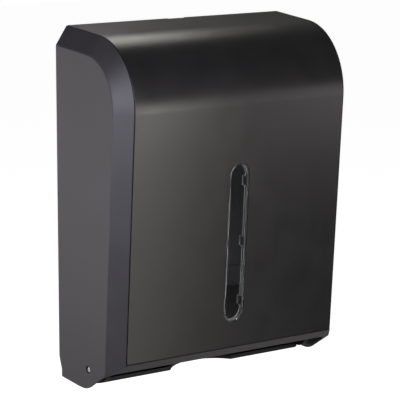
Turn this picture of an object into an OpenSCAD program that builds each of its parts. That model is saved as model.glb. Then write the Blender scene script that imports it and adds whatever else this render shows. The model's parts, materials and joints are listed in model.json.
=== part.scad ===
// Wall-mounted dispenser for folded paper towels.
// A wall plate carries two side guides, a floor and a sprung latch. The cover is a moulded frame with
// a wrap-over front panel and a clear window, and it swings down to the front on two hinge pins.
// X runs across the wall, the wall is the plane y = 0, the front faces -Y and Z points up.
// In the sizes below a depth is measured from the wall and a height from the lowest edge of the cover.
// Inside the modules d is a depth, z a height, s a distance in from the outer skin of the cover,
// l a length along its top from the wall, and h a length up its front from the lower crease.

/* [Cover] */
// Width of the cover at the wall
cover_w = 285; // [275:1:300]
// Height of the cover at the wall
cover_h = 364; // [350:1:385]
// Depth of the front face, carried up to the height of the top
cover_depth = 129.3; // [124:0.1:136]
// Slope of the top and lean of the front, which stand square to each other, in degrees
tilt = 3.8; // [2.5:0.1:4.5]
// Lean of each side, inwards towards the front, in degrees
side_draft = 1.6; // [0.8:0.1:2.2]
// Radius of the round between top and front
round_r = 68.5; // [60:0.5:74]
// Width of the slanted edge bands, across
band_w = 12.8; // [11:0.1:15]
// Depth of the slanted edge bands, front to back
band_d = 19; // [16:0.5:22]
// Wall thickness of the frame
wall_t = 2.6; // [2.2:0.1:3]
// Gap between the cover's rear edge and the wall
wall_gap = 1; // [0.6:0.1:1.6]

/* [Front panel] */
// Thickness of the wrap-over panel
panel_t = 2.2; // [1.8:0.1:2.6]
// Width of the seam around the panel
seam = 0.6; // [0.4:0.1:0.8]
// Play between the panel and the ledge behind it
panel_play = 0.1; // [0.1:0.05:0.2]
// Width of the ledge behind the panel's edges
ledge_w = 9; // [8:0.5:11]
// Thickness of the ledge
ledge_t = 2.2; // [1.8:0.1:2.6]
// Radius of the studs that hold the panel
stud_r = 2; // [1.8:0.1:2.2]
// Heights of the studs up the front, from the lower crease
stud_h = [30, 115, 200];
// Distance of the studs on the top from the middle
stud_x = 60; // [50:1:75]
// Radius of the push-on clips
clip_r = 4.4; // [3.6:0.1:4.4]
// Thickness of the push-on clips
clip_t = 0.8; // [0.6:0.1:1]

/* [Window] */
// Width of the window, over its rim
window_w = 24.5; // [22:0.5:28]
// Length of the window, over its rim
window_l = 167; // [150:1:180]
// Height of the window's middle up the front, from the lower crease
window_h = 111.5; // [105:0.5:120]
// Width of the window's rim
rim_w = 1.3; // [1:0.1:1.6]
// Thickness of the rim
rim_t = 0.8; // [0.6:0.1:1]
// Thickness of the clear pane and of the skirt behind it
pane_t = 1.3; // [1.1:0.1:1.8]
// Depth of the skirt behind the front skin
skirt_s = 5; // [4.5:0.5:7]
// Play of the window in its slot
window_play = 0.15; // [0.1:0.05:0.25]
// Height of one snap tab
tab_h = 10.5; // [9:0.5:13]
// Spacing of the snap tabs
tab_pitch = 63; // [55:1:66]
// Reach of the snap tabs behind the panel
tab_hook = 1; // [0.8:0.1:1.3]
// Length by which the tabs stand past the skirt
tab_extra = 4.7; // [4:0.1:5.5]

/* [Lower edge] */
// Height of the crease between the front and the slanted lip
crease_z = 34.7; // [30:0.1:38]
// Slope of the lower edge, in degrees
lower_slope = 33; // [31:0.5:36]
// Depth of the lip, front to back
lip_d = 20; // [17:0.5:22]
// Height of the lip's land below the panel
land_h = 0.6; // [0.5:0.1:1]
// Height of the flange behind the panel's lower edge
flange_h = 12; // [9:0.5:16]
// Radius of the lip's inner corners
lip_r = 10; // [6:0.5:12]
// Radius of the lowest corner of each side
side_corner_r = 25; // [18:0.5:30]
// Rise of each side's lower edge towards the wall
side_rise = 2.4; // [1.5:0.1:3]
// Depth at which that rise starts
side_rise_d = 40; // [34:1:44]

/* [Hinge] */
// Depth of the hinge axis
pivot_d = 56.5; // [56:0.5:60]
// Height of the hinge axis
pivot_z = 21.4; // [20.4:0.2:24]
// Depth of the cut at the sides' rear lower corners
relief_d = 4.7; // [4:0.1:5.5]
// Heights above the hinge axis where that cut starts and where it is full
relief_rise = [2, -11.5];
// Radius of the hinge pins
pin_r = 3; // [2.8:0.1:3.2]
// Running clearance of the pins in their bushes
pin_play = 0.05; // [0.03:0.01:0.08]
// Outer radius of the bushes
bush_r = 5; // [4.6:0.1:5.4]
// Length of the bushes in their seats
bush_l = 8; // [7:0.5:9]
// Radius and thickness of the bush flanges
bush_flange = [7, 1.2];
// Radius of the seats moulded on the cover's sides
seat_r = 9; // [8.4:0.1:9.4]
// Radius of the holes seen from the side
pin_hole_r = 3.65; // [3.4:0.05:4]
// Thickness of the skin around those holes
hinge_skin = 1.8; // [1.5:0.1:2]
// Axial play between bush and guide
axial_play = 0.4; // [0.3:0.1:0.6]
// Radius and thickness of the pin heads
pin_head = [5, 1.8];
// Opening angle of the cover, in degrees
open_angle = 95; // [85:1:100]
// Radius of the open stop from the hinge axis
stop_reach = 12; // [11.8:0.1:12.4]
// Radius of the stop lug on the guide
lug_r = 2; // [1.8:0.1:2.2]
// Thickness of the stop rib on the cover
stop_rib_t = 4; // [3:0.5:5]

/* [Guides] */
// Room between a guide's inner face and the cover's side at the wall
guide_room = 21.1; // [20.5:0.1:23]
// Thickness of the guides
guide_t = 3; // [2.5:0.1:3.5]
// Distance of the guides' upper ends below the cover's top
guide_drop = 114; // [90:2:140]
// Height of the slanted upper corner of the guides
guide_slant = 40; // [30:5:60]
// Radius of the hinge ears
ear_r = 14.5; // [14.2:0.1:16]
// Height of the guides' lower edges above the lowest point of their ears
guide_lift = 1.8; // [1.5:0.1:2.5]
// Thickness of the hinge ears
ear_t = 5; // [4:0.5:5.5]
// Radius of the ear's outer boss
ear_boss_r = 6; // [5.4:0.2:7]
// Width and thickness of the guides' feet on the wall plate
foot = [9.5, 2.5];
// Distance of the guides' outer screws from their upper ends and from the cover's lowest edge
guide_screw_in = [24, 44];

/* [Floor] */
// Height of the floor's underside
floor_z = 2.8; // [2:0.1:4]
// Thickness of the floor
floor_t = 2.4; // [2:0.1:3]
// Depth of the floor's front edge
floor_d = 51; // [46:0.5:52]
// Height and thickness of the rib along the front edge
floor_rib = [4.3, 2.2];
// Width of the finger notch
notch_w = 76; // [60:1:90]
// Depth of the finger notch
notch_d = 19.5; // [16:0.5:24]
// Height of the upstand against the wall plate
upstand_z = 70; // [60:1:74]
// Side play of the floor's upstand between the guides
floor_play = 0.4; // [0.3:0.1:0.6]
// Room between the floor and the cover's sides, which it passes under the guides to reach
floor_room = 9; // [8:0.5:11]
// Radius of the floor's front corners
floor_corner_r = 9; // [6:0.5:10]
// Distance of the outer floor screws from the middle
floor_screw_x = 80; // [60:1:100]
// Height of the floor screws
floor_screw_z = 52; // [40:1:56]

/* [Wall plate] */
// Room between the wall plate and the cover's side at the wall
plate_room = 8.5; // [7.5:0.1:9]
// Thickness of the wall plate
plate_t = 3; // [2.6:0.1:3.6]
// Distance of the plate's upper edge below the cover's top
plate_drop = 19; // [18:0.5:24]
// Height and thickness of the plate's rim
plate_rim = [5, 2.2];
// Height and thickness of the stiffening ribs on the plate
plate_rib = [1.6, 2];
// Height of the cross rib
cross_rib_z = 90; // [80:1:100]
// Distance of the upright ribs from the middle
upright_x = 60; // [50:1:70]
// Distance of the upright ribs' ends below the plate's upper edge
upright_drop = 60; // [50:1:70]
// Distance of the wall screws from the cover's sides at the wall
screw_in = 47.5; // [42:0.5:65]
// Height of the lower wall screws
screw_low_z = 85; // [82:1:100]
// Distance of the upper wall screws below the cover's top
screw_drop = 39; // [38:1:60]
// Radius of the wall screw holes
wall_hole_r = 2.75; // [2.25:0.25:3.25]
// Radius and height of the bosses around them
wall_boss = [7, 2];
// Distance of the rubber bumpers from the middle
bumper_x = 80; // [70:1:86]
// Radius of the bumpers' posts
post_r = 5; // [4:0.5:5.5]
// Thickness of the bumpers
bumper_t = 3.5; // [2.5:0.5:4]
// Play between bumper and cover
bumper_play = 0.3; // [0.2:0.1:0.5]

/* [Latch] */
// Radius of the half-round notch for the button in the panel's rear edge
button_notch_r = 10; // [9:0.5:11]
// Gap around the button
button_gap = 0.4; // [0.3:0.1:0.7]
// Height of the button's cap
button_h = 7.5; // [6.5:0.5:8]
// Depth of the button's face below the panel's skin
button_sink = 0.3; // [0.2:0.1:0.8]
// Width and depth of the button's stem
stem = [14, 5];
// Travel of the button
button_travel = 6; // [5:0.5:6]
// Width of the slider's body
slider_w = 23.4; // [21:0.2:25]
// Depth of the slider's body
slider_d = 11.6; // [11:0.2:12]
// Height of the slider's body
slider_h = 17.4; // [15:0.2:19]
// Side play of the slider in its housing
slider_play = 0.3; // [0.2:0.1:0.4]
// Width and height of the slider's arm
arm = [16, 5];
// Height of the latch bolt's nose
nose_h = 5; // [4.5:0.1:5.4]
// Lean of the nose's catching face, in degrees
nose_lean = 24; // [15:1:30]
// Width of the latch bolt
bolt_w = 14; // [12:0.5:15]
// Gap between catch and bolt
catch_gap = 0.4; // [0.3:0.1:0.6]
// Wall thickness of the latch housing
housing_t = 6; // [5:0.5:7]
// Thickness of the housing's front lips
housing_lip_t = 2; // [1.6:0.1:2.2]
// Height of the spring's space in the housing
spring_h = 18; // [16:0.5:20]
// Outer radius of the spring
spring_r = 4; // [3.6:0.1:4.4]
// Wire radius of the spring
spring_wire_r = 0.45; // [0.4:0.05:0.5]
// Turns of the spring
spring_turns = 6; // [5:1:7]
// Play at each end of the spring
spring_play = 0.1; // [0.05:0.05:0.2]
// Width, height and thickness of the steel catch on the cover
catch_plate = [34, 15, 1.5];
// Distance of the catch's screws from the middle
catch_screw_x = 12; // [11:0.5:13.5]

/* [Top rail] */
// Start and end of the rail's ledge below the panel, along the top
rail_l = [14, 34];
// Distance of the rail's web along the top
web_l = 18; // [17:0.5:19]
// Depth of the web below the skin, in the middle and at the sides
web_s = [18, 28];
// Half width of the shallow middle of the web
web_gap_x = 26; // [24:1:30]

/* [Fasteners] */
// Shank radius of the assembly screws
screw_r = 1.5; // [1.3:0.1:1.7]
// Head radius and height of the assembly screws
screw_head = [3, 1.9];
// Play of a fastener in its hole
screw_play = 0.05; // [0.02:0.01:0.1]
// Skin left behind a blind screw hole
blind_skin = 0.5; // [0.4:0.1:0.8]

/* [Hidden] */
$fn = 64;
far = 600;

// Directions in the plane of depth and height
front_out = [cos(tilt), -sin(tilt)];
top_out = [sin(tilt), cos(tilt)];
slope_up = [cos(lower_slope), sin(lower_slope)];
slope_out = [sin(lower_slope), -cos(lower_slope)];

// Point where two lines meet, each given by its normal and its distance from zero
function meet(n, a, m, b) = let(det = n[0] * m[1] - n[1] * m[0])
    [(a * m[1] - n[1] * b) / det, (n[0] * b - m[0] * a) / det];
function top_level(s) = top_out * [0, cover_h] - s;
function front_level(s, shift = 0) = front_out * [cover_depth, cover_h] + shift - s;
function slope_level(s) = slope_out * crease - s;

// Points of the cover's outline, at a distance s in from its skin
function corner_at(s, shift = 0) = meet(top_out, top_level(s), front_out, front_level(s, shift));
function round_mid(shift = 0) = corner_at(round_r, shift);
function top_end(s, shift = 0) = round_mid(shift) + top_out * (round_r - s);
function front_end(s, shift = 0) = round_mid(shift) + front_out * (round_r - s);
function on_top(l, s) = [0, cover_h] + front_out * l - top_out * s;
function on_front(h, s) = crease + top_out * h - front_out * s;
function top_at(d, s) = [d, (top_level(s) - top_out[0] * d) / top_out[1]];
crease = [cover_depth - tan(tilt) * (cover_h - crease_z), crease_z];
lip_end_d = crease[0] - lip_d;
slope_foot = meet(slope_out, slope_level(0), [0, 1], 0);

// Sides of the cover
cap_shift = band_w * tan(side_draft);
function side_x(d) = cover_w / 2 - tan(side_draft) * d;
function seam_x(d) = side_x(d) - band_w / cos(side_draft);
ledge_s = panel_t + panel_play;
ledge_in = ledge_s + ledge_t;
rail_x = seam_x(rail_l[1]) - ledge_w / 2;
clip_gap = 0.45;
clip_s = ledge_in + clip_gap;
stud_s = clip_s + clip_t + 1;
function stud_side_x(h) = seam_x(on_front(h, 0)[0]) - seam - ledge_w / 2;

// Hinge
seat_end_x = side_x(pivot_d) - hinge_skin;
seat_x = seat_end_x - bush_l;
ear_boss_x = seat_x - bush_flange[1] - axial_play;
guide_x = cover_w / 2 - guide_room;
guide_top_z = cover_h - guide_drop;
guide_screw_pitch = (guide_top_z - guide_screw_in[0] - guide_screw_in[1]) / 2;
guide_screw_z = [for (i = [0:2]) guide_screw_in[1] + i * guide_screw_pitch];
pin_end_x = seat_end_x + 0.4;
stop_half_angle = asin((stop_rib_t / 2 + lug_r) / stop_reach);
stop_margin = 1;
stop_angle = 180 - open_angle - stop_half_angle - stop_margin;

// Latch, from the catch down
catch_s = [web_s[0] + 4 - catch_plate[1], web_s[0] + 4];
web_front_l = web_l + wall_t;
catch_foot = on_top(web_front_l + catch_plate[2], catch_s[1]);
slider_top = catch_foot[1] - 1;
slider_back = plate_t + 0.4;
slider_front = slider_back + slider_d;
slider_foot = slider_top - slider_h;
housing_floor = slider_foot - spring_h;
housing_floor_t = 4;
housing_front = slider_front + slider_play;
housing_x = slider_w / 2 + slider_play;
housing_top = slider_top + 3.6;
arm_x = arm[0] / 2;
arm_gap = 0.5;
nose_start = catch_foot[0] + catch_gap - tan(nose_lean) * (catch_foot[1] - slider_top);
nose_flat = 1.6;
nose_ramp = 5.2;
arm_end = nose_start + tan(nose_lean) * nose_h + nose_flat + nose_ramp;
bolt_screw_d = nose_start + 4.6;
bolt_screw_l = arm[1] + 2.6;
spring_d = (slider_back + slider_front) / 2;
plate_top = cover_h - plate_drop;
plate_w = cover_w - 2 * plate_room;
screw_dx = cover_w - 2 * screw_in;
screw_dz = cover_h - screw_drop - screw_low_z;
screw_mid_z = screw_low_z + screw_dz / 2;
bumper_z = on_top(web_l, web_s[1] - 5)[1];
bumper_end = on_top(web_l, web_s[1])[0] - bumper_play;

// Placing: the drawn height zero is the cover's lowest edge, the origin the middle of the wall screws
module placed() { translate([0, 0, -screw_mid_z]) children(); }
module along_x(from, to) {
    translate([from, 0, 0]) rotate([90, 0, 90]) linear_extrude(to - from) mirror([1, 0]) children();
}
module along_y(from, to) { translate([0, -from, 0]) rotate([90, 0, 0]) linear_extrude(to - from) children(); }
module along_z(from, to) { translate([0, 0, from]) linear_extrude(to - from) mirror([0, 1]) children(); }
module into_front(from, to) {
    translate([0, -crease[0], crease[1]]) rotate([90 + tilt, 0, 0]) translate([0, 0, -to])
        linear_extrude(to - from) children();
}
module into_top(from, to) {
    translate([0, 0, cover_h]) rotate([180 + tilt, 0, 0]) translate([0, 0, from])
        linear_extrude(to - from) children();
}
module both_sides() {
    children();
    mirror([1, 0, 0]) children();
}
module on_pivot() { translate([0, -pivot_d, pivot_z]) rotate([0, 90, 0]) children(); }
module in_cap() { translate([cover_w / 2, 0, 0]) rotate([0, 0, -side_draft]) children(); }

// Plane shapes
module stadium(w, len) {
    for (end = [-1, 1]) translate([0, end * (len - w) / 2]) circle(d = w);
    square([w, len - w], center = true);
}
module rounded_plate(w, low, high, r) {
    translate([-w / 2 + r, low]) square([w - 2 * r, high - low]);
    translate([-w / 2, low + r]) square([w, high - low - 2 * r]);
    for (x = [-1, 1], z = [low + r, high - r]) translate([x * (w / 2 - r), z]) circle(r);
}
// What lies outside an arc of radius r at a corner, between its two tangent points
module outside_arc(a, corner, b, mid, r) {
    difference() {
        polygon([a, corner, b, mid]);
        translate(mid) circle(r);
    }
}

// A cross section, given across and in from the skin, carried down the front, over the round and
// back along the top, all drawn about the middle of the round
module swept(section, shift) {
    mid = round_mid(shift);
    profile = [for (p = section) [round_r - p[1], -p[0]]];
    down = mid[1] - crease_z + 2 * band_d;
    back = mid[0] + band_d;
    translate([0, -mid[0], mid[1]]) rotate([tilt, 0, 0]) rotate([90, 0, -90]) {
        rotate_extrude(angle = 90, $fn = 128) polygon(profile);
        rotate([90, 0, 0]) linear_extrude(down) polygon(profile);
        rotate(90) rotate([90, 0, 0]) translate([0, 0, -back]) linear_extrude(back) polygon(profile);
    }
}

// Cover: side with its slanted band, whose section runs on into the flat of the side
band_len = norm([band_w, band_d]);
side_s = band_d + wall_t / 2;
root_s = band_d + 2 * wall_t;
ledge_root = (ledge_in * band_w - wall_t * band_len) / band_d - band_w;
cap_section = [[-band_w, 0], [0, band_d], [0, root_s], [-wall_t / 2, root_s], [ledge_root, ledge_in],
    [-band_w - ledge_w, ledge_in], [-band_w - ledge_w, ledge_s], [-band_w, ledge_s]];

module side_outline() {
    r = round_r - side_s;
    mid = round_mid(cap_shift);
    low_mid = meet(slope_out, slope_level(side_corner_r), [0, 1], side_corner_r);
    difference() {
        polygon([top_at(wall_gap, side_s), corner_at(side_s, cap_shift),
            meet(front_out, front_level(side_s, cap_shift), slope_out, slope_level(0)), slope_foot,
            [side_rise_d, 0], [wall_gap, side_rise]]);
        outside_arc(mid + top_out * r, mid + (top_out + front_out) * r * 1.1, mid + front_out * r, mid, r);
        outside_arc(low_mid + slope_out * side_corner_r, slope_foot - [0, 1], [low_mid[0], -1], low_mid,
            side_corner_r);
        polygon([[-far, pivot_z + relief_rise[0]], [wall_gap, pivot_z + relief_rise[0]],
            [wall_gap + relief_d, pivot_z + relief_rise[1]], [wall_gap + relief_d, -far], [-far, -far]]);
    }
}
module below_slope() {
    polygon([crease + slope_up * far, crease - slope_up * far, crease - slope_up * far + slope_out * far,
        crease + slope_up * far + slope_out * far]);
}
module cover_side() {
    difference() {
        in_cap() {
            swept(cap_section, cap_shift);
            along_x(-wall_t, 0) side_outline();
        }
        along_x(-cover_w, cover_w) below_slope();
        translate([-far, -wall_gap, -far]) cube(2 * far);
    }
}

// Cover: lip below the panel, with the flange that locates the panel
lip_back_d = lip_end_d - lip_r;
module lip_section() {
    slope_in = slope_level(wall_t);
    polygon([crease, on_front(land_h, 0), on_front(land_h, ledge_s), on_front(flange_h, ledge_s),
        on_front(flange_h, ledge_in), meet(front_out, front_level(ledge_in), slope_out, slope_in),
        meet(slope_out, slope_in, [1, 0], lip_back_d), meet(slope_out, slope_level(0), [1, 0], lip_back_d)]);
}
module cap_envelope() {
    in_cap() translate([0, -crease[0] - cap_shift, crease_z]) rotate([tilt, 0, 0])
        translate([0, 0, -band_d * 2]) linear_extrude(band_d * 4)
        polygon([[-far, -band_d], [-2 * band_w, -band_d], [0, band_d], [0, far], [-far, far]]);
}
module mouth() {
    half = side_x(lip_back_d) - wall_t;
    difference() {
        translate([-half, 0]) square([2 * half, lip_end_d]);
        for (x = [-1, 1]) translate([x * half, lip_end_d]) difference() {
            square(2 * lip_r, center = true);
            translate([-x * lip_r, -lip_r]) circle(lip_r);
        }
    }
}
module lip() {
    difference() {
        intersection() {
            along_x(-cover_w / 2, cover_w / 2) lip_section();
            cap_envelope();
            mirror([1, 0, 0]) cap_envelope();
        }
        along_z(-band_d, crease_z + band_d) mouth();
    }
}

// Cover: rail below the rear of the panel, with the web that the catch is screwed to
module rail_section(depth) {
    polygon([on_top(rail_l[0], ledge_s), on_top(rail_l[1], ledge_s), on_top(rail_l[1], ledge_in),
        on_top(web_front_l, ledge_in), on_top(web_front_l, depth), on_top(web_l, depth),
        on_top(web_l, ledge_in), on_top(rail_l[0], ledge_in)]);
}
module top_rail() {
    along_x(-web_gap_x, web_gap_x) rail_section(web_s[0]);
    both_sides() along_x(web_gap_x, rail_x) rail_section(web_s[1]);
}

// Cover: seat of a hinge bush and the rib that stops the cover when it is open
module hinge_seat() {
    wall_x = side_x(pivot_d) - wall_t / 2;
    translate([seat_x, 0, 0]) on_pivot() cylinder(r = seat_r, h = wall_x - seat_x);
    along_x(seat_x, wall_x) translate([pivot_d, pivot_z]) rotate(90 - stop_angle)
        translate([seat_r - 1, -stop_rib_t / 2]) square([stop_reach + lug_r + 2 - seat_r, stop_rib_t]);
}
module hinge_bore() {
    translate([seat_x - 1, 0, 0]) on_pivot() cylinder(r = bush_r + screw_play, h = seat_end_x - seat_x + 1);
    translate([seat_end_x - 1, 0, 0]) on_pivot() cylinder(r = pin_hole_r, h = hinge_skin * 3);
}

// Places of the studs, as a child drawn on the skin of front or top between two distances in
module at_studs(from, to) {
    for (h = stud_h, x = [-1, 1]) into_front(from, to) translate([x * stud_side_x(h), h]) children();
    for (x = [-1, 1]) into_top(from, to) translate([x * stud_x, (web_front_l + rail_l[1]) / 2]) children();
}
module catch_screw_places() {
    mid_s = (catch_s[0] + web_s[0]) / 2;
    at = on_top(web_front_l, mid_s);
    for (x = [-1, 1]) translate([x * catch_screw_x, -at[0], at[1]]) rotate([90 + tilt, 0, 0]) children();
}

module cover_frame() {
    color([0.2, 0.195, 0.205]) placed() difference() {
        union() {
            both_sides() cover_side();
            lip();
            top_rail();
            both_sides() hinge_seat();
        }
        both_sides() hinge_bore();
        at_studs(ledge_s - 1, ledge_in + 2) circle(stud_r + 0.3);
        catch_screw_places() translate([0, 0, -wall_t - 1])
            cylinder(r = screw_r + screw_play, h = wall_t + 2);
    }
}

// Front panel
panel_low = land_h + seam;
module round_waste(s) {
    r = round_r - s;
    mid = round_mid();
    outside_arc(mid + top_out * r, mid + (top_out + front_out) * r * 1.1, mid + front_out * r, mid, r);
}
module panel_section() {
    difference() {
        polygon([top_at(wall_gap, 0), corner_at(0), on_front(panel_low, 0), on_front(panel_low, band_d),
            top_at(wall_gap, band_d)]);
        round_waste(0);
        difference() {
            polygon([top_at(-1, panel_t), corner_at(panel_t), on_front(-1, panel_t), [-1, 0]]);
            round_waste(panel_t);
        }
    }
}
module panel_plan() {
    deep = cover_depth * 1.2;
    rear_x = seam_x(wall_gap) - seam;
    front_x = seam_x(deep) - seam;
    polygon([[-rear_x, wall_gap], [-front_x, deep], [front_x, deep], [rear_x, wall_gap]]);
}
module window_place() { translate([0, window_h]) children(); }
module window_outline(grow) { window_place() stadium(window_w + 2 * grow, window_l + 2 * grow); }

module front_panel() {
    color([0.17, 0.17, 0.165]) placed() {
        difference() {
            intersection() {
                along_x(-cover_w / 2, cover_w / 2) panel_section();
                along_z(0, 2 * cover_h) panel_plan();
            }
            into_front(-1, rim_t + window_play / 2) window_outline(window_play);
            into_front(-1, panel_t + 1) window_outline(window_play - rim_w);
            along_z(cover_h / 2, 2 * cover_h) translate([0, wall_gap]) circle(button_notch_r);
        }
        at_studs(panel_t / 2, stud_s) circle(stud_r);
    }
}

module window_lens() {
    hook_x = window_w / 2 - rim_w;
    color([0.85, 0.88, 0.9, 0.35]) placed() {
        into_front(0, rim_t) window_outline(0);
        into_front(rim_t, pane_t) window_outline(-rim_w);
        into_front(pane_t, skirt_s) difference() {
            window_outline(-rim_w);
            window_outline(-rim_w - pane_t);
        }
        for (i = [-1:1], x = [-1, 1]) into_front(panel_t + window_play, skirt_s + tab_extra) window_place()
            translate([x * (hook_x + (tab_hook - pane_t) / 2), i * tab_pitch])
            square([pane_t + tab_hook, tab_h], center = true);
    }
}

module panel_clips() {
    color([0.6, 0.6, 0.62]) placed() at_studs(clip_s, clip_s + clip_t) difference() {
        circle(clip_r);
        circle(stud_r + screw_play);
    }
}

// Pan-head screw, its head on the plane z = 0 and its shank below
module pan_screw(len) {
    r = screw_head[0];
    h = screw_head[1];
    difference() {
        rotate_extrude() polygon([[0, -len], [screw_r * 0.6, -len], [screw_r, -len + screw_r * 0.6],
            [screw_r, 0], [r, 0], [r, h * 0.45], [r * 0.82, h * 0.8], [r * 0.5, h], [0, h]]);
        for (turn = [0, 90]) rotate(turn) translate([-r * 0.55, -r * 0.11, h * 0.45])
            cube([r * 1.1, r * 0.22, h]);
    }
}

module catch_plate_steel() {
    color([0.72, 0.72, 0.73]) placed() difference() {
        along_x(-catch_plate[0] / 2, catch_plate[0] / 2)
            polygon([for (c = [[0, 0], [0, 1], [1, 1], [1, 0]])
                on_top(web_front_l + c[0] * catch_plate[2], catch_s[c[1]])]);
        catch_screw_places() translate([0, 0, -1]) cylinder(r = screw_r + screw_play, h = catch_plate[2] + 2);
    }
}
module catch_screws() {
    color([0.75, 0.75, 0.76]) placed() catch_screw_places() translate([0, 0, catch_plate[2]])
        pan_screw(catch_plate[2] + wall_t);
}

// Hinge bush with its flange towards the guide, and hinge pin with its head inside the guide
module hinge_bush() {
    translate([seat_x, 0, 0]) on_pivot() difference() {
        union() {
            cylinder(r = bush_r, h = bush_l - 0.1);
            translate([0, 0, -bush_flange[1]]) cylinder(r = bush_flange[0], h = bush_flange[1]);
        }
        translate([0, 0, -bush_flange[1] - 1])
            cylinder(r = pin_r + pin_play, h = bush_l + bush_flange[1] + 2);
    }
}
module hinge_pin() {
    len = pin_end_x - guide_x;
    tip = 0.5;
    translate([guide_x, 0, 0]) on_pivot() rotate_extrude()
        polygon([[0, -pin_head[1]], [pin_head[0] * 0.75, -pin_head[1]], [pin_head[0], -pin_head[1] * 0.5],
            [pin_head[0], 0], [pin_r, 0], [pin_r, len - tip], [pin_r - tip, len], [0, len]]);
}
module hinge_bush_left() { color([0.09, 0.09, 0.09]) placed() mirror([1, 0, 0]) hinge_bush(); }
module hinge_bush_right() { color([0.09, 0.09, 0.09]) placed() hinge_bush(); }
module hinge_pin_left() { color([0.85, 0.85, 0.86]) placed() mirror([1, 0, 0]) hinge_pin(); }
module hinge_pin_right() { color([0.85, 0.85, 0.86]) placed() hinge_pin(); }

// Wall plate
plate_low = floor_z;
rim_gap_x = housing_x + housing_t + 3;
module guide_screw_places() {
    for (z = guide_screw_z) translate([guide_x + guide_t + foot[0] / 2 - 0.5, -plate_t - foot[1], z])
        rotate([90, 0, 0]) children();
}
module floor_screw_places() {
    for (i = [-1:1]) translate([i * floor_screw_x, -plate_t - floor_t, floor_screw_z])
        rotate([90, 0, 0]) children();
}
module housing_screw_places() {
    low = housing_floor - housing_floor_t;
    for (x = [-1, 1]) translate([x * (housing_x + housing_t + 5), -plate_t - housing_lip_t, low + 8])
        rotate([90, 0, 0]) children();
}
module blind_hole(through) {
    depth = through + plate_t - blind_skin;
    translate([0, 0, -depth]) cylinder(r = screw_r + screw_play, h = depth + 1);
}

module wall_plate() {
    rib = plate_rib;
    color([0.58, 0.585, 0.6]) placed() difference() {
        union() {
            along_y(0, plate_t) rounded_plate(plate_w, plate_low, plate_top, 8);
            both_sides() along_y(plate_t, plate_t + plate_rim[0])
                translate([plate_w / 2 - plate_rim[1], plate_low + 8])
                square([plate_rim[1], plate_top - plate_low - 16]);
            both_sides() along_y(plate_t, plate_t + plate_rim[0])
                translate([rim_gap_x, plate_top - plate_rim[1]])
                square([plate_w / 2 - 8 - rim_gap_x, plate_rim[1]]);
            along_y(plate_t, plate_t + rib[0]) translate([-guide_x + 10, cross_rib_z - rib[1] / 2])
                square([2 * guide_x - 20, rib[1]]);
            both_sides() along_y(plate_t, plate_t + rib[0]) translate([upright_x - rib[1] / 2, cross_rib_z])
                square([rib[1], plate_top - cross_rib_z - upright_drop]);
            for (x = [-1, 1], z = [-1, 1]) along_y(plate_t, plate_t + wall_boss[1])
                translate([x * screw_dx / 2, screw_mid_z + z * screw_dz / 2]) circle(wall_boss[0]);
            both_sides() along_y(plate_t, bumper_end - bumper_t)
                translate([bumper_x, bumper_z]) circle(post_r);
        }
        for (x = [-1, 1], z = [-1, 1]) along_y(-1, plate_t + wall_boss[1] + 1)
            translate([x * screw_dx / 2, screw_mid_z + z * screw_dz / 2]) circle(wall_hole_r);
        both_sides() guide_screw_places() blind_hole(foot[1]);
        floor_screw_places() blind_hole(floor_t);
        housing_screw_places() blind_hole(housing_lip_t);
    }
}
module cover_bumpers() {
    color([0.05, 0.05, 0.05]) placed() both_sides() translate([bumper_x, -bumper_end + bumper_t, bumper_z])
        rotate([90, 0, 0]) rotate_extrude() polygon([[0, 0], [post_r, 0], [post_r, bumper_t * 0.6],
            [post_r - bumper_t * 0.4, bumper_t], [0, bumper_t]]);
}

// Floor with its finger notch, front rib and upstand
floor_x = guide_x - floor_play;
floor_out = side_x(floor_d) - wall_t - floor_room;
notch_r = (pow(notch_w / 2, 2) + pow(notch_d, 2)) / (2 * notch_d);
notch_mid_d = floor_d - notch_d + notch_r;
module floor_plan(s) {
    r = floor_corner_r - s;
    translate([-floor_out + s, plate_t]) square([2 * (floor_out - s), floor_d - s - r - plate_t]);
    translate([r - floor_out + s, plate_t]) square([2 * (floor_out - s - r), floor_d - s - plate_t]);
    for (x = [-1, 1]) translate([x * (floor_out - s - r), floor_d - s - r]) circle(r);
}
module notch_circle(grow) { translate([0, notch_mid_d]) circle(notch_r + grow, $fn = 128); }
module floor_tray() {
    rib = floor_rib[1];
    color([0.06, 0.06, 0.065]) placed() difference() {
        union() {
            along_z(floor_z, floor_z + floor_t) floor_plan(0);
            along_z(floor_z, floor_z + floor_rib[0]) intersection() {
                floor_plan(0);
                union() {
                    difference() {
                        translate([-floor_out, floor_d - floor_corner_r])
                            square([2 * floor_out, floor_corner_r]);
                        floor_plan(rib);
                    }
                    notch_circle(rib);
                }
            }
            along_y(plate_t, plate_t + floor_t) translate([-floor_x, floor_z])
                square([2 * floor_x, upstand_z - floor_z]);
            both_sides() along_x(floor_x - rib, floor_x) polygon([[plate_t, floor_z],
                [floor_d - rib, floor_z], [floor_d - rib, floor_z + floor_rib[0]],
                [plate_t + floor_t + 6, floor_screw_z], [plate_t, floor_screw_z]]);
        }
        along_z(0, upstand_z) notch_circle(0);
        floor_screw_places() translate([0, 0, -floor_t - 1])
            cylinder(r = screw_r + screw_play, h = floor_t + 2);
    }
}

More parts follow.
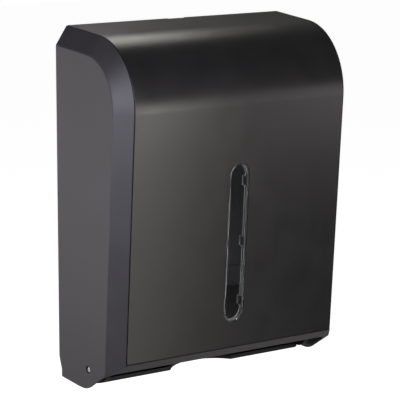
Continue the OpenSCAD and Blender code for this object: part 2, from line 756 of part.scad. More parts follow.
// Side guide with its foot, its hinge ear and the lug that stops the open cover
module guide() {
    low = pivot_z - ear_r;
    front = pivot_d + ear_r;
    difference() {
        union() {
            along_x(guide_x, guide_x + guide_t) {
                polygon([[plate_t, low + guide_lift], [pivot_d, low + guide_lift], [pivot_d, pivot_z],
                    [front, pivot_z], [front, guide_top_z - guide_slant],
                    [front - guide_slant * 0.7, guide_top_z], [plate_t, guide_top_z]]);
                translate([pivot_d, pivot_z]) circle(ear_r);
            }
            along_y(plate_t, plate_t + foot[1]) translate([guide_x, low + 6])
                square([guide_t + foot[0] - 3, guide_top_z - low - 10]);
            for (z = guide_screw_z) along_z(z + 14, z + 16.4) polygon([[guide_x + guide_t, plate_t],
                [guide_x + guide_t + foot[0] - 3, plate_t + foot[1]], [guide_x + guide_t, plate_t + 14]]);
            translate([guide_x, 0, 0]) on_pivot() cylinder(r = ear_r, h = ear_t);
            translate([guide_x, 0, 0]) on_pivot() cylinder(r = ear_boss_r, h = ear_boss_x - guide_x);
            translate([guide_x, 0, -stop_reach]) on_pivot() cylinder(r = lug_r, h = seat_x + 3 - guide_x);
        }
        translate([guide_x - 1, 0, 0]) on_pivot() cylinder(r = pin_r + 0.02, h = ear_boss_x - guide_x + 2);
        guide_screw_places() translate([0, 0, -foot[1] - 1])
            cylinder(r = screw_r + screw_play, h = foot[1] + 2);
    }
}
module guide_left() { color([0.06, 0.06, 0.065]) placed() mirror([1, 0, 0]) guide(); }
module guide_right() { color([0.06, 0.06, 0.065]) placed() guide(); }
module guide_screws() {
    color([0.75, 0.75, 0.76]) placed() both_sides() guide_screw_places()
        pan_screw(foot[1] + plate_t - blind_skin - 0.1);
}
module floor_screws() {
    color([0.75, 0.75, 0.76]) placed() floor_screw_places() pan_screw(floor_t + plate_t - blind_skin - 0.1);
}

// Latch: housing on the wall plate, spring, button with its slider, and bolt
module latch_housing() {
    low = housing_floor - housing_floor_t;
    front = housing_front + housing_lip_t;
    post_h = 6;
    color([0.58, 0.585, 0.6]) placed() difference() {
        union() {
            both_sides() along_z(low, housing_top) translate([housing_x, plate_t])
                square([housing_t, front - plate_t]);
            both_sides() along_z(low, housing_top) translate([arm_x + arm_gap, housing_front])
                square([housing_x + housing_t - arm_x - arm_gap, housing_lip_t]);
            both_sides() along_z(slider_top + slider_play, housing_top)
                translate([arm_x + arm_gap, housing_front - 5])
                square([housing_x + 1 - arm_x - arm_gap, 5 + housing_lip_t]);
            along_z(low, housing_floor) translate([-housing_x - 1, plate_t])
                square([2 * housing_x + 2, front - plate_t]);
            translate([0, -spring_d, low])
                cylinder(r = spring_r - 2 * spring_wire_r - 0.4, h = housing_floor_t + post_h);
            both_sides() along_y(plate_t, plate_t + housing_lip_t) translate([housing_x, low])
                square([housing_t + 10, 16]);
        }
        housing_screw_places() translate([0, 0, -housing_lip_t - 1])
            cylinder(r = screw_r + screw_play, h = housing_lip_t + 2);
    }
}
module housing_screws() {
    color([0.75, 0.75, 0.76]) placed() housing_screw_places()
        pan_screw(housing_lip_t + plate_t - blind_skin - 0.1);
}

// Spring: one helical tube of triangles, with the least gap between its turns printed
rings = 8;
sides = 6;
spring_low = housing_floor + spring_play + spring_wire_r;
spring_rise = (spring_h - 2 * (spring_play + spring_wire_r)) / spring_turns;
coil_r = spring_r - spring_wire_r;
spring_path = [for (i = [0:rings * spring_turns]) let(a = 360 * i / rings)
    [coil_r * cos(a), coil_r * sin(a), spring_rise * i / rings]];
turn_gap = min([for (i = [0:rings * (spring_turns - 1)])
    for (j = [i + rings - 1:min(i + rings + 1, rings * spring_turns)])
        norm(spring_path[i] - spring_path[j])]) - 2 * spring_wire_r;
echo(least_gap_between_spring_turns = turn_gap);
module coil_tube() {
    last = len(spring_path) - 1;
    points = [for (i = [0:last], k = [0:sides - 1]) let(a = 360 * i / rings, b = 360 * k / sides)
        spring_path[i] + spring_wire_r * [cos(b) * cos(a), cos(b) * sin(a), sin(b)]];
    walls = [for (i = [0:last - 1], k = [0:sides - 1], half = [0, 1])
        let(m = i * sides + k, n = i * sides + (k + 1) % sides)
        half == 0 ? [m, n, n + sides] : [m, n + sides, m + sides]];
    ends = [for (k = [1:sides - 2], e = [0, 1]) e == 0 ? [0, k + 1, k]
        : [last * sides, last * sides + k, last * sides + k + 1]];
    polyhedron(points, concat(walls, ends));
}
module latch_spring() {
    color([0.8, 0.8, 0.81]) placed() translate([0, -spring_d, spring_low]) coil_tube();
}

module release_button() {
    cap_r = button_notch_r - button_gap;
    cap_back = wall_gap + 0.6;
    cap_low = top_at(cap_back, 0)[1] - button_h;
    color([0.17, 0.17, 0.165]) placed() difference() {
        union() {
            along_z(slider_foot, slider_top) translate([-slider_w / 2, slider_back])
                square([slider_w, slider_d]);
            along_z(slider_top - arm[1], slider_top) translate([-arm_x, slider_back])
                square([arm[0], arm_end - slider_back]);
            along_z(slider_top - 1, cap_low + 1) translate([-stem[0] / 2, slider_back]) square(stem);
            intersection() {
                along_z(cap_low, 2 * cover_h) intersection() {
                    translate([0, wall_gap]) circle(cap_r);
                    translate([-cap_r, cap_back]) square(2 * cap_r);
                }
                along_x(-cover_w, cover_w) polygon([[-far, cap_low], top_at(-far, button_sink),
                    top_at(far, button_sink), [far, cap_low]]);
            }
        }
        translate([0, -bolt_screw_d, slider_top - arm[1] - 1])
            cylinder(r = screw_r + screw_play, h = arm[1] + 2);
    }
}
module latch_bolt() {
    lean = tan(nose_lean) * nose_h;
    color([0.7, 0.7, 0.71]) placed() difference() {
        along_x(-bolt_w / 2, bolt_w / 2) polygon([[nose_start, slider_top], [arm_end, slider_top],
            [nose_start + lean + nose_flat, slider_top + nose_h], [nose_start + lean, slider_top + nose_h]]);
        translate([0, -bolt_screw_d, slider_top - 1])
            cylinder(r = screw_r + screw_play, h = bolt_screw_l - arm[1] + 1.2);
    }
}
module bolt_screw() {
    color([0.75, 0.75, 0.76]) placed() translate([0, -bolt_screw_d, slider_top - arm[1]]) rotate([180, 0, 0])
        pan_screw(bolt_screw_l);
}

cover_frame();
front_panel();
window_lens();
panel_clips();
catch_plate_steel();
catch_screws();
hinge_bush_left();
hinge_bush_right();
wall_plate();
floor_tray();
guide_left();
guide_right();
guide_screws();
floor_screws();
hinge_pin_left();
hinge_pin_right();
cover_bumpers();
latch_housing();
housing_screws();
latch_spring();
release_button();
latch_bolt();
bolt_screw();
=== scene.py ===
"""Looks of a wall-mounted dispenser for folded paper towels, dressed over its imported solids."""
import json
import logging
import math
from dataclasses import dataclass
from enum import Enum

import bmesh
import bpy
from mathutils import Matrix, Vector

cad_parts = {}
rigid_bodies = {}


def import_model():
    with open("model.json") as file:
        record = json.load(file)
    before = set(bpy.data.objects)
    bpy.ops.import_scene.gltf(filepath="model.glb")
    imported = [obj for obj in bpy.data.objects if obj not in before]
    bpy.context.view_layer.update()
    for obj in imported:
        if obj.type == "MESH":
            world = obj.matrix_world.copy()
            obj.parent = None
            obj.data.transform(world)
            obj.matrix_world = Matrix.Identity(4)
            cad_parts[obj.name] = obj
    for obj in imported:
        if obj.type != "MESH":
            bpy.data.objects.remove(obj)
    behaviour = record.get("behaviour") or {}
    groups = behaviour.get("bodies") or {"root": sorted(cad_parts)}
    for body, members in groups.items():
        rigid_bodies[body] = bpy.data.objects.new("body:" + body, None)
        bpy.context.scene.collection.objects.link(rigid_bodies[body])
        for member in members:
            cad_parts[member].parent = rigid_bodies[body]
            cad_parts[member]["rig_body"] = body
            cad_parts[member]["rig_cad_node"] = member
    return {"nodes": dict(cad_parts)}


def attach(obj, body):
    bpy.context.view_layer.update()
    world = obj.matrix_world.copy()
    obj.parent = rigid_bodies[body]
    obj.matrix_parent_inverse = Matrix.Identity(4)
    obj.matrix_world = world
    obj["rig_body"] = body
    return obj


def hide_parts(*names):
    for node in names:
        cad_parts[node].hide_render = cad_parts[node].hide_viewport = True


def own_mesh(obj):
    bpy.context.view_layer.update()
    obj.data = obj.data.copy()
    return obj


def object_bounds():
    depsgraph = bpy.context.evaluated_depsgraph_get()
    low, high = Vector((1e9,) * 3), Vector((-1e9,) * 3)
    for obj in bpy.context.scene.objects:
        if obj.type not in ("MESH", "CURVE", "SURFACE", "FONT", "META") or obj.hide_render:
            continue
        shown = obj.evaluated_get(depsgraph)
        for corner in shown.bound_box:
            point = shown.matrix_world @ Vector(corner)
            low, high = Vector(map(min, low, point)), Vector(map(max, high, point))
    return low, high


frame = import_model()
SOLID_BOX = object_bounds()
LOG = logging.getLogger("dispenser")

Colour = tuple[float, float, float]
Point = tuple[float, float, float]
Socket = bpy.types.NodeSocket

SIDES = ("left", "right")
WHITE = (1.0, 1.0, 1.0, 1.0)

# Finer octaves of the noise patterns: in cloudy ones, and in grit and lines.
CLOUD_DETAIL = 4.0
FINE_DETAIL = 2.0


class Body(Enum):
    """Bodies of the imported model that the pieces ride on."""

    BASE = "base"
    COVER = "cover"
    LATCH = "latch"


class Slot(Enum):
    """Material slots of the record."""

    FRAME = "frame_plastic"
    PANEL = "panel_plastic"
    CLEAR = "clear_plastic"
    BASE = "base_plastic"
    FLOOR = "floor_plastic"
    BUSH = "bush_plastic"
    PIN = "pin_steel"
    ZINC = "zinc_steel"
    SPRING = "spring_steel"
    RUBBER = "bumper_rubber"


def scaled(colour: Colour, factor: float) -> Colour:
    """Give a colour made darker or lighter by a factor."""
    return tuple(part * factor for part in colour)


class Graph:
    """Shader nodes of one material, built up around its main shader."""

    # Noise seldom leaves this range, so shades and gloss are spread over it.
    low_end: float = 0.3
    high_end: float = 0.7

    def __init__(self, name: str) -> None:
        """Start a material with an empty pattern.

        Args:
            name: Name of the material.
        """
        self.material = bpy.data.materials.new(name)
        self.material.use_nodes = True
        self.tree = self.material.node_tree
        self.shader = self.tree.nodes["Principled BSDF"]
        self.place = self.tree.nodes.new("ShaderNodeTexCoord").outputs["Object"]

    def plain(self, **values: object) -> None:
        """Set sockets of the main shader that are the same all over the surface."""
        for name, value in values.items():
            self.shader.inputs[name.replace("_", " ")].default_value = value

    def noise(self, size: float, detail: float, stretch: Point = (1, 1, 1)) -> Socket:
        """Add a soft noise pattern.

        Args:
            size: Size of its features, in metres.
            detail: Number of finer octaves.
            stretch: Factors by which the features are drawn out along X, Y and Z.

        Returns:
            The socket that gives the noise, from 0 to 1.
        """
        mapping = self.tree.nodes.new("ShaderNodeMapping")
        mapping.inputs["Scale"].default_value = [1 / s for s in stretch]
        noise = self.tree.nodes.new("ShaderNodeTexNoise")
        noise.inputs["Scale"].default_value = 1 / size
        noise.inputs["Detail"].default_value = detail
        self.tree.links.new(self.place, mapping.inputs["Vector"])
        self.tree.links.new(mapping.outputs["Vector"], noise.inputs["Vector"])
        return noise.outputs["Fac"]

    def blend(self, first: Socket, second: Socket, share: float) -> Socket:
        """Lay a second pattern over a first one.

        Args:
            first: The main pattern.
            second: The pattern laid over it.
            share: Share of the second pattern, from 0 to 1.

        Returns:
            The socket of the blended pattern.
        """
        mix = self.tree.nodes.new("ShaderNodeMix")
        mix.inputs["Factor"].default_value = share
        self.tree.links.new(first, mix.inputs["A"])
        self.tree.links.new(second, mix.inputs["B"])
        return mix.outputs["Result"]

    def tint(self, pattern: Socket, dark: Colour, light: Colour) -> None:
        """Colour the surface between two shades that follow a pattern.

        Args:
            pattern: The pattern.
            dark: Shade where the pattern is low.
            light: Shade where it is high.
        """
        ramp = self.tree.nodes.new("ShaderNodeValToRGB")
        ends = (self.low_end, dark), (self.high_end, light)
        for stop, (place, shade) in zip(ramp.color_ramp.elements, ends):
            stop.position, stop.color = place, (*shade, 1.0)
        self.tree.links.new(pattern, ramp.inputs["Fac"])
        self.tree.links.new(ramp.outputs["Color"], self.shader.inputs["Base Color"])

    def gloss(self, pattern: Socket, low: float, high: float) -> None:
        """Vary the roughness between two values that follow a pattern.

        Args:
            pattern: The pattern.
            low: Roughness where the pattern is low.
            high: Roughness where it is high.
        """
        spread = self.tree.nodes.new("ShaderNodeMapRange")
        spread.inputs["From Min"].default_value = self.low_end
        spread.inputs["From Max"].default_value = self.high_end
        spread.inputs["To Min"].default_value = low
        spread.inputs["To Max"].default_value = high
        self.tree.links.new(pattern, spread.inputs["Value"])
        self.tree.links.new(spread.outputs["Result"], self.shader.inputs["Roughness"])

    def grain(self, pattern: Socket, depth: float) -> None:
        """Raise the surface a little where a pattern is high.

        Args:
            pattern: The pattern.
            depth: Height of the grain, in metres.
        """
        bump = self.tree.nodes.new("ShaderNodeBump")
        bump.inputs["Distance"].default_value = depth
        self.tree.links.new(pattern, bump.inputs["Height"])
        self.tree.links.new(bump.outputs["Normal"], self.shader.inputs["Normal"])


@dataclass(frozen=True)
class MouldedPlastic:
    """Satin moulded plastic with the fine grain of a spark-eroded mould."""

    name: str
    slot: Slot
    colour: Colour
    roughness: float
    specular: float = 0.5
    wander: float = 0.15
    cloud_size: float = 0.03
    streak: float = 0.0
    streak_size: float = 0.004
    streak_stretch: Point = (1, 1, 60)
    grain_size: float = 0.0006
    grain_depth: float = 0.00002
    grain_share: float = 0.4
    gloss_spread: float = 0.04

    def material(self) -> bpy.types.Material:
        """Make the material: a wandering shade, uneven gloss and a fine grain.

        Returns:
            The material.
        """
        graph = Graph(self.name)
        graph.plain(Specular_IOR_Level=self.specular)
        cloud = graph.noise(self.cloud_size, CLOUD_DETAIL)
        if self.streak:
            lines = graph.noise(self.streak_size, FINE_DETAIL, self.streak_stretch)
            cloud = graph.blend(cloud, lines, self.streak)
        dark, light = (scaled(self.colour, 1 + way * self.wander) for way in (-1, 1))
        graph.tint(cloud, dark, light)
        grit = graph.noise(self.grain_size, FINE_DETAIL)
        uneven = graph.blend(cloud, grit, self.grain_share)
        low, high = (self.roughness + way * self.gloss_spread for way in (-1, 1))
        graph.gloss(uneven, low, high)
        graph.grain(grit, self.grain_depth)
        return graph.material


@dataclass(frozen=True)
class ClearPlastic:
    """Polished clear plastic with faint smears."""

    name: str
    slot: Slot
    tint: Colour
    roughness: float
    refraction: float = 1.49
    smear_size: float = 0.012
    smear_stretch: Point = (1, 1, 4)
    smear_spread: float = 2.0

    def material(self) -> bpy.types.Material:
        """Make the material: clear, with smears that dull it in places.

        Returns:
            The material.
        """
        graph = Graph(self.name)
        graph.plain(Base_Color=(*self.tint, 1.0), Transmission_Weight=1.0, IOR=self.refraction)
        smear = graph.noise(self.smear_size, CLOUD_DETAIL, self.smear_stretch)
        graph.gloss(smear, self.roughness / self.smear_spread, self.roughness * self.smear_spread)
        return graph.material


@dataclass(frozen=True)
class PlatedSteel:
    """Bright or plated steel with fine draw lines."""

    name: str
    slot: Slot
    colour: Colour
    roughness: float
    mottle: float = 0.18
    mottle_size: float = 0.003
    drawn: Point = (1, 1, 1)
    line_size: float = 0.0004
    line_depth: float = 0.000008
    line_share: float = 0.5
    gloss_spread: float = 0.07

    def material(self) -> bpy.types.Material:
        """Make the material: metal with fine lines and a mottled plating.

        Returns:
            The material.
        """
        graph = Graph(self.name)
        graph.plain(Metallic=1.0)
        bloom = graph.noise(self.mottle_size, CLOUD_DETAIL)
        lines = graph.noise(self.line_size, FINE_DETAIL, self.drawn)
        shade = graph.blend(bloom, lines, self.line_share)
        graph.tint(shade, scaled(self.colour, 1 - self.mottle), self.colour)
        low, high = (self.roughness + way * self.gloss_spread for way in (-1, 1))
        graph.gloss(shade, low, high)
        graph.grain(lines, self.line_depth)
        return graph.material


@dataclass(frozen=True)
class Rubber:
    """Soft black rubber, dull and slightly dusty."""

    name: str
    slot: Slot
    colour: Colour
    specular: float = 0.25
    dull: float = 0.7
    dullest: float = 0.9
    dust: float = 1.8
    dust_size: float = 0.004
    dust_detail: float = 5.0
    grain_size: float = 0.0005
    grain_depth: float = 0.00002

    def material(self) -> bpy.types.Material:
        """Make the material: dull, with a pale bloom in places.

        Returns:
            The material.
        """
        graph = Graph(self.name)
        graph.plain(Specular_IOR_Level=self.specular)
        bloom = graph.noise(self.dust_size, self.dust_detail)
        graph.tint(bloom, self.colour, scaled(self.colour, self.dust))
        graph.gloss(bloom, self.dull, self.dullest)
        graph.grain(graph.noise(self.grain_size, FINE_DETAIL), self.grain_depth)
        return graph.material


Finish = MouldedPlastic | ClearPlastic | PlatedSteel | Rubber

FRAME_PLASTIC = MouldedPlastic("frame_satin", Slot.FRAME, (0.0235, 0.0225, 0.0240), 0.44)
PANEL_PLASTIC = MouldedPlastic(
    "panel_satin", Slot.PANEL, (0.0115, 0.0110, 0.0112), 0.32, streak=0.25)
LENS_PLASTIC = ClearPlastic("lens_clear", Slot.CLEAR, (0.95, 0.96, 0.97), 0.015)
BASE_PLASTIC = MouldedPlastic("base_matte", Slot.BASE, (0.29, 0.295, 0.31), 0.5, wander=0.05)
FLOOR_PLASTIC = MouldedPlastic(
    "floor_matte", Slot.FLOOR, (0.009, 0.009, 0.0095), 0.5, specular=0.35)
BUSH_PLASTIC = MouldedPlastic(
    "bush_smooth", Slot.BUSH, (0.02, 0.02, 0.021), 0.3, grain_depth=0.000006)
PIN_STEEL = PlatedSteel(
    "pin_bright", Slot.PIN, (0.86, 0.86, 0.86), 0.25, mottle=0.05, drawn=(30, 1, 1))
ZINC_STEEL = PlatedSteel("zinc_plated", Slot.ZINC, (0.62, 0.63, 0.65), 0.34)
SPRING_STEEL = PlatedSteel("spring_wire", Slot.SPRING, (0.55, 0.55, 0.57), 0.3)
BUMPER_RUBBER = Rubber("bumper_rubber", Slot.RUBBER, (0.018, 0.018, 0.018))


class Workshop:
    """Steps that the sub-assemblies share: dressing solids and rounding copies of them."""

    # Merging a copy, in metres: corners that are one, and edges too short to keep.
    weld: float = 5e-6
    sliver: float = 1e-5
    # Angles between faces: taken as flat, a blunt crease, a sharp edge, and shaded smooth.
    flat: float = math.radians(0.2)
    crease: float = math.radians(26)
    sharp: float = math.radians(48)
    smooth: float = math.radians(35)
    # Rounding: its steps, the room that it needs in widths, and the spikes that it leaves, in metres.
    steps: int = 2
    room: float = 2.5
    spike: float = 6e-5
    # Pull of the large faces on the shading, out of 100.
    face_weight: int = 100

    made: dict[str, bpy.types.Material] = {}

    @classmethod
    def material(cls, finish: Finish) -> bpy.types.Material:
        """Give a finish's material, made once.

        Args:
            finish: The finish.

        Returns:
            Its material.
        """
        if finish.name not in cls.made:
            cls.made[finish.name] = finish.material()
        return cls.made[finish.name]

    @classmethod
    def dress(cls, node: str, finish: Finish) -> None:
        """Finish a solid that is shown as it is.

        Args:
            node: Name of the solid's node.
            finish: Its finish.
        """
        for slot in frame["nodes"][node].material_slots:
            slot.material = cls.material(finish)
        LOG.info("%s: %s", node, finish.name)

    @staticmethod
    def alone(piece: bpy.types.Object) -> None:
        """Select one object and nothing else.

        Args:
            piece: The object.
        """
        bpy.ops.object.select_all(action="DESELECT")
        piece.select_set(True)
        bpy.context.view_layer.objects.active = piece

    @classmethod
    def merged(cls, node: str, piece: str) -> bpy.types.Object:
        """Copy a solid and merge its loose triangles into whole faces.

        Args:
            node: Name of the solid's node.
            piece: Name of the new piece.

        Returns:
            The merged copy, free of its body.
        """
        cls.alone(frame["nodes"][node])
        bpy.ops.object.duplicate()
        copy = bpy.context.view_layer.objects.active
        bpy.ops.object.parent_clear(type="CLEAR_KEEP_TRANSFORM")
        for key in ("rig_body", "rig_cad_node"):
            del copy[key]
        copy.name = copy.data.name = piece
        bpy.ops.mesh.customdata_custom_splitnormals_clear()
        bpy.ops.object.mode_set(mode="EDIT")
        bpy.ops.mesh.select_all(action="SELECT")
        bpy.ops.mesh.remove_doubles(threshold=cls.weld)
        bpy.ops.mesh.dissolve_degenerate(threshold=cls.sliver)
        bpy.ops.mesh.dissolve_limited(angle_limit=cls.flat)
        bpy.ops.object.mode_set(mode="OBJECT")
        return copy

    @classmethod
    def rounded(cls, piece: bpy.types.Object, width: float, soft: float) -> None:
        """Round the edges of a merged piece, its blunt creases first and then its sharp edges.

        Args:
            piece: The piece to round.
            width: Width of the rounding along sharp edges, in metres.
            soft: Width of the rounding along blunt creases, in metres, or 0 to leave them.
        """
        cls.alone(piece)
        bpy.ops.object.mode_set(mode="EDIT")
        bpy.ops.mesh.select_mode(type="EDGE")
        if soft:
            cls.round_between(piece, soft, cls.crease, cls.sharp)
        cls.round_between(piece, width, cls.sharp, math.pi)
        bpy.ops.object.mode_set(mode="OBJECT")
        bpy.ops.object.shade_smooth_by_angle(angle=cls.smooth)
        bpy.ops.object.modifier_add(type="WEIGHTED_NORMAL")
        level = piece.modifiers[-1]
        level.weight, level.keep_sharp = cls.face_weight, True
        bpy.ops.object.modifier_apply(modifier=level.name)

    @classmethod
    def round_between(
            cls, piece: bpy.types.Object, width: float, least: float, most: float) -> None:
        """Round the edges whose faces turn by an angle between two limits.

        Args:
            piece: The piece, in edit mode.
            width: Width of the rounding, in metres.
            least: Smallest angle, in radians.
            most: Largest angle, in radians.
        """
        bpy.ops.mesh.select_all(action="DESELECT")
        shape = bmesh.from_edit_mesh(piece.data)
        for edge in shape.edges:
            meant = edge.is_manifold and least < edge.calc_face_angle() <= most
            edge.select_set(meant and cls.roomy(edge, cls.room * width))
        bmesh.update_edit_mesh(piece.data)
        bpy.ops.mesh.bevel(
            offset=width, segments=cls.steps, clamp_overlap=False, loop_slide=False)
        bpy.ops.mesh.remove_doubles(threshold=cls.spike)

    @staticmethod
    def roomy(edge: bmesh.types.BMEdge, room: float) -> bool:
        """Tell whether both faces beside an edge are wide enough for a rounding.

        Args:
            edge: The edge.
            room: Width that each face needs, in metres.

        Returns:
            True if a rounding has room on both sides.
        """
        middle = (edge.verts[0].co + edge.verts[1].co) / 2
        along = (edge.verts[1].co - edge.verts[0].co).normalized()
        for face in edge.link_faces:
            inward = face.normal.cross(along)
            reach = max(abs((v.co - middle).dot(inward)) for v in face.verts)
            if reach < room:
                return False
        return True

    @classmethod
    def attach(cls, piece: bpy.types.Object, node: str, body: Body, finish: Finish) -> None:
        """Finish a piece, hang it on its body and let it stand for a solid.

        Args:
            piece: The piece.
            node: Name of the solid's node.
            body: Body that the piece rides on.
            finish: Its finish.
        """
        piece.data.materials.clear()
        piece.data.materials.append(cls.material(finish))
        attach(piece, body.value)
        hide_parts(node)
        LOG.info("%s: %s, %d faces", piece.name, finish.name, len(piece.data.polygons))

    @classmethod
    def stand_for(
            cls, node: str, body: Body, finish: Finish, width: float, soft: float = 0.0) -> None:
        """Show a rounded copy in place of a solid.

        Args:
            node: Name of the solid's node.
            body: Body that the piece rides on.
            finish: Its finish.
            width: Width of its rounded edges, in metres.
            soft: Width of its rounded creases, in metres, or 0 to leave them.
        """
        piece = cls.merged(node, f"{node}_moulding")
        cls.rounded(piece, width, soft)
        cls.attach(piece, node, body, finish)


@dataclass
class Cover:
    """The swinging cover: frame, wrap-over panel, window, clips, catch and hinge bushes."""

    frame_round: float = 0.0005
    frame_crease: float = 0.0012
    panel_round: float = 0.0006
    lens_round: float = 0.0003

    def build(self) -> None:
        """Make the visible mouldings and dress the rest."""
        Workshop.stand_for(
            "cover_frame", Body.COVER, FRAME_PLASTIC, self.frame_round, self.frame_crease)
        Workshop.stand_for("front_panel", Body.COVER, PANEL_PLASTIC, self.panel_round)
        Workshop.stand_for("window_lens", Body.COVER, LENS_PLASTIC, self.lens_round)
        Workshop.dress("panel_clips", SPRING_STEEL)
        Workshop.dress("catch_plate_steel", ZINC_STEEL)
        Workshop.dress("catch_screws", ZINC_STEEL)
        for side in SIDES:
            Workshop.dress(f"hinge_bush_{side}", BUSH_PLASTIC)


@dataclass
class Base:
    """The wall plate with its guides, floor, pins, bumpers, latch housing and spring."""

    moulding_round: float = 0.0004
    coil_smooth: float = math.radians(60)

    def build(self) -> None:
        """Round the mouldings, dress the metal and rubber, and wind the spring."""
        for node in ("wall_plate", "latch_housing"):
            Workshop.stand_for(node, Body.BASE, BASE_PLASTIC, self.moulding_round)
        for node in ("floor_tray", "guide_left", "guide_right"):
            Workshop.stand_for(node, Body.BASE, FLOOR_PLASTIC, self.moulding_round)
        for node in ("guide_screws", "floor_screws", "housing_screws"):
            Workshop.dress(node, ZINC_STEEL)
        for side in SIDES:
            Workshop.dress(f"hinge_pin_{side}", PIN_STEEL)
        Workshop.dress("cover_bumpers", BUMPER_RUBBER)
        self.wind_spring()

    def wind_spring(self) -> None:
        """Show the latch spring as a smooth-shaded coil that rides on the base."""
        coil = Workshop.merged("latch_spring", "latch_spring_coil")
        bpy.ops.object.shade_smooth_by_angle(angle=self.coil_smooth)
        Workshop.attach(coil, "latch_spring", Body.BASE, SPRING_STEEL)
        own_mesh(coil)


@dataclass
class Latch:
    """The sprung release button with its bolt."""

    button_round: float = 0.0005

    def build(self) -> None:
        """Round the button and dress its bolt."""
        Workshop.stand_for("release_button", Body.LATCH, FRAME_PLASTIC, self.button_round)
        Workshop.dress("latch_bolt", ZINC_STEEL)
        Workshop.dress("bolt_screw", ZINC_STEEL)


WARM: Colour = (1.0, 0.98, 0.90)
COOL: Colour = (0.83, 0.83, 1.0)
PLAIN: Colour = (1.0, 0.93, 0.97)


class Wall(Enum):
    """Walls of the studio on which lamps hang, each a point on it and the way that it faces."""

    FRONT = ((0.0, -0.62, 0.0), (0, 1, 0))
    LEFT = ((-1.0, 0.0, 0.0), (1, 0, 0))
    RIGHT = ((1.2, 0.0, 0.0), (-1, 0, 0))
    REAR = ((0.0, 1.3, 0.0), (0, -1, 0))
    ROOF = ((0.0, 0.0, 1.0), (0, 0, -1))

    def place(self, across: float, up: float) -> Vector:
        """Give a point on the wall.

        Args:
            across: Its place on the wall's first free axis, X or Y.
            up: Its place on the other free axis, Z, or Y on the roof.

        Returns:
            The point.
        """
        spot, facing = Vector(self.value[0]), self.value[1]
        first, second = (axis for axis in range(3) if not facing[axis])
        spot[first], spot[second] = across, up
        return spot


@dataclass(frozen=True)
class SoftBox:
    """A soft rectangular studio lamp that hangs on a wall."""

    name: str
    wall: Wall
    spot: tuple[float, float]
    size: tuple[float, float]
    level: float
    colour: Colour = PLAIN

    def build(self) -> None:
        """Hang the lamp; its level is the brightness of its face, where 1 is white."""
        lamp = bpy.data.lights.new(self.name, "AREA")
        lamp.shape = "RECTANGLE"
        lamp.size, lamp.size_y = self.size
        lamp.energy = self.level * math.pi * self.size[0] * self.size[1]
        lamp.color = self.colour
        holder = bpy.data.objects.new(self.name, lamp)
        bpy.context.scene.collection.objects.link(holder)
        holder.visible_camera = False
        holder.location = self.wall.place(*self.spot)
        holder.rotation_euler = Vector(self.wall.value[1]).to_track_quat("-Z", "Y").to_euler()


# The front and roof lamps give the sheen on the panel, and the left ones that on the side and band.
LAMPS = (
    SoftBox("front_strip", Wall.FRONT, (0.165, 0.0), (0.08, 0.12), 18.4, WARM),
    SoftBox("front_strip_low", Wall.FRONT, (0.165, -0.16), (0.08, 0.20), 6.6, WARM),
    SoftBox("front_strip_foot", Wall.FRONT, (0.165, -0.38), (0.08, 0.24), 5.0, WARM),
    SoftBox("front_mid", Wall.FRONT, (0.05, 0.10), (0.15, 0.10), 2.4),
    SoftBox("front_left", Wall.FRONT, (-0.10, 0.12), (0.15, 0.14), 5.4),
    SoftBox("front_high", Wall.FRONT, (-0.10, 0.30), (0.20, 0.22), 6.4, COOL),
    SoftBox("front_high_left", Wall.FRONT, (-0.30, 0.35), (0.20, 0.25), 5.8),
    SoftBox("front_far_left", Wall.FRONT, (-0.50, 0.40), (0.20, 0.40), 5.5),
    SoftBox("front_right", Wall.FRONT, (0.55, 0.0), (0.25, 0.26), 2.6),
    SoftBox("left_mid", Wall.LEFT, (-0.10, 0.05), (0.30, 0.40), 6.9, COOL),
    SoftBox("left_front", Wall.LEFT, (-0.35, 0.05), (0.20, 0.40), 7.0, COOL),
    SoftBox("left_high", Wall.LEFT, (-0.35, 0.45), (0.20, 0.40), 9.0, COOL),
    SoftBox("left_far", Wall.LEFT, (-0.55, 0.25), (0.20, 0.50), 5.0),
    SoftBox("left_rear", Wall.LEFT, (0.80, -0.30), (1.20, 0.40), 2.5),
    SoftBox("rear_left", Wall.REAR, (-0.80, 0.0), (0.50, 0.50), 1.8),
    SoftBox("rear_high", Wall.REAR, (0.66, 0.85), (0.20, 0.20), 2.4),
    SoftBox("roof_strip", Wall.ROOF, (0.49, 0.52), (0.10, 0.42), 9.8, WARM),
    SoftBox("roof_far", Wall.ROOF, (0.60, 0.84), (0.12, 0.42), 7.8, WARM),
    SoftBox("right_fill", Wall.RIGHT, (0.15, 0.2), (0.40, 0.60), 9.0),
)


class Step(Enum):
    """Operations that join two numbers along the path of a ray."""

    BELOW = "LESS_THAN"
    ABOVE = "GREATER_THAN"
    TIMES = "MULTIPLY"
    LARGER = "MAXIMUM"


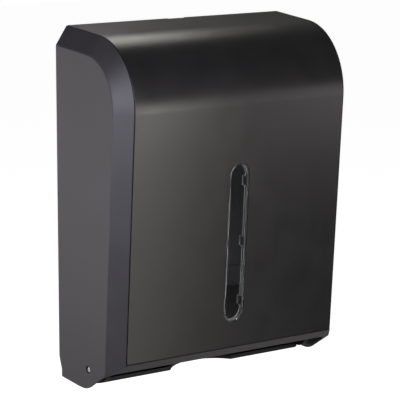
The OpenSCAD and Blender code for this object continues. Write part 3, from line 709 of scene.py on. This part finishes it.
class Backdrop:
    """Share of the white backdrop that each ray sees, worked out from its path."""

    # Counts of mirrorings between which a ray is taken as straight, mirrored once or more often.
    straight_below: float = 0.5
    often_above: float = 1.5

    def __init__(self, tree: bpy.types.NodeTree) -> None:
        """Start with the path of the ray.

        Args:
            tree: Node tree of a material or the world.
        """
        self.tree = tree
        self.path = tree.nodes.new("ShaderNodeLightPath").outputs

    def join(self, first: Socket, step: Step, second: Socket | float) -> Socket:
        """Join two sockets, or a socket and a number.

        Args:
            first: The first socket.
            step: The operation.
            second: The second socket, or a number.

        Returns:
            The socket of the result.
        """
        node = self.tree.nodes.new("ShaderNodeMath")
        node.operation = step.value
        self.tree.links.new(first, node.inputs[0])
        if isinstance(second, float):
            node.inputs[1].default_value = second
        else:
            self.tree.links.new(second, node.inputs[1])
        return node.outputs[0]

    def share(self, gloss: float, piped: float) -> Socket:
        """Give the share of the backdrop that a ray sees.

        Args:
            gloss: Share that a ray sees after one mirroring.
            piped: Share that a ray sees after it was mirrored inside a clear piece twice or more.

        Returns:
            The socket: 1 for the camera and straight through clear pieces, 0 for soft light.
        """
        mirrored = self.path["Glossy Depth"]
        straight = self.join(mirrored, Step.BELOW, self.straight_below)
        often = self.join(self.join(mirrored, Step.ABOVE, self.often_above), Step.TIMES, piped)
        through = self.join(straight, Step.LARGER, often)
        clear = self.join(self.path["Is Transmission Ray"], Step.TIMES, through)
        glossy = self.join(self.path["Is Glossy Ray"], Step.TIMES, gloss)
        seen = self.join(clear, Step.LARGER, glossy)
        return self.join(self.path["Is Camera Ray"], Step.LARGER, seen)


@dataclass
class Studio:
    """Camera, floor, backdrop and soft lamps."""

    camera_place: Point = (-1.0906, -1.6818, 0.3756)
    camera_aim: Point = (-0.00521, -0.056, -0.0239)
    camera_roll: float = 0.0033
    camera_reach: float = 100.0
    lens: float = 174.27
    sensor: float = 36.0
    floor_drop: float = 0.30
    floor_size: float = 12.0
    floor_shade: float = 0.4
    floor_white: float = 0.96
    ambient: float = 0.05
    gloss: float = 0.02
    piped: float = 1.0

    def build(self) -> None:
        """Set up the whole studio."""
        self.aim_camera()
        self.lay_floor()
        self.light_world()
        for lamp in LAMPS:
            lamp.build()
        bpy.context.scene.view_settings.view_transform = "Standard"

    def aim_camera(self) -> None:
        """Place the camera at the viewing angle of the photograph."""
        data = bpy.data.cameras.new("camera")
        data.sensor_width, data.lens = self.sensor, self.lens
        data.clip_end = self.camera_reach
        camera = bpy.data.objects.new("camera", data)
        bpy.context.scene.collection.objects.link(camera)
        back = (Vector(self.camera_place) - Vector(self.camera_aim)).normalized()
        right = Vector((0, 0, 1)).cross(back).normalized()
        right = Matrix.Rotation(self.camera_roll, 3, back) @ right
        axes = Matrix((right, back.cross(right), back)).transposed()
        camera.matrix_world = Matrix.Translation(self.camera_place) @ axes.to_4x4()
        bpy.context.scene.camera = camera

    def lay_floor(self) -> None:
        """Lay a pale floor below the object."""
        low = SOLID_BOX[0].z - self.floor_drop
        bpy.ops.object.select_all(action="DESELECT")
        bpy.ops.mesh.primitive_plane_add(size=self.floor_size, location=(0, 0, low))
        floor = bpy.context.view_layer.objects.active
        floor.name = "floor"
        floor.data.materials.append(self.floor_material())

    def floor_material(self) -> bpy.types.Material:
        """Make the floor white to the camera apart from the object's shadow, and clear from below.

        Returns:
            The material.
        """
        material = bpy.data.materials.new("floor_pale")
        material.use_nodes = True
        tree = material.node_tree
        tree.nodes.clear()
        pale = tree.nodes.new("ShaderNodeBsdfDiffuse")
        pale.inputs["Color"].default_value = (*scaled(WHITE[:3], self.floor_shade), 1.0)
        white = tree.nodes.new("ShaderNodeEmission")
        white.inputs["Strength"].default_value = self.floor_white
        both = tree.nodes.new("ShaderNodeAddShader")
        pick = tree.nodes.new("ShaderNodeMixShader")
        below = tree.nodes.new("ShaderNodeNewGeometry")
        clear = tree.nodes.new("ShaderNodeBsdfTransparent")
        side = tree.nodes.new("ShaderNodeMixShader")
        output = tree.nodes.new("ShaderNodeOutputMaterial")
        tree.links.new(pale.outputs[0], both.inputs[0])
        tree.links.new(white.outputs[0], both.inputs[1])
        tree.links.new(Backdrop(tree).share(self.gloss, self.piped), pick.inputs["Fac"])
        tree.links.new(pale.outputs[0], pick.inputs[1])
        tree.links.new(both.outputs[0], pick.inputs[2])
        tree.links.new(below.outputs["Backfacing"], side.inputs["Fac"])
        tree.links.new(pick.outputs[0], side.inputs[1])
        tree.links.new(clear.outputs[0], side.inputs[2])
        tree.links.new(side.outputs[0], output.inputs["Surface"])
        return material

    def light_world(self) -> None:
        """Make the backdrop white to the camera and a soft grey to everything else."""
        world = bpy.data.worlds.new("studio")
        bpy.context.scene.world = world
        world.use_nodes = True
        tree = world.node_tree
        soft = tree.nodes["Background"]
        soft.inputs["Color"].default_value = WHITE
        soft.inputs["Strength"].default_value = self.ambient
        white = tree.nodes.new("ShaderNodeBackground")
        white.inputs["Color"].default_value = WHITE
        pick = tree.nodes.new("ShaderNodeMixShader")
        tree.links.new(Backdrop(tree).share(self.gloss, self.piped), pick.inputs["Fac"])
        tree.links.new(soft.outputs[0], pick.inputs[1])
        tree.links.new(white.outputs[0], pick.inputs[2])
        tree.links.new(pick.outputs[0], tree.nodes["World Output"].inputs["Surface"])


def main() -> None:
    """Build the studio and the dispenser's looks, and report each sub-assembly."""
    logging.basicConfig(level=logging.INFO, format="%(name)s: %(message)s")
    for assembly in (Studio(), Base(), Cover(), Latch()):
        assembly.build()
        LOG.info("%s: built", type(assembly).__name__)


if __name__ == "__main__":
    main()
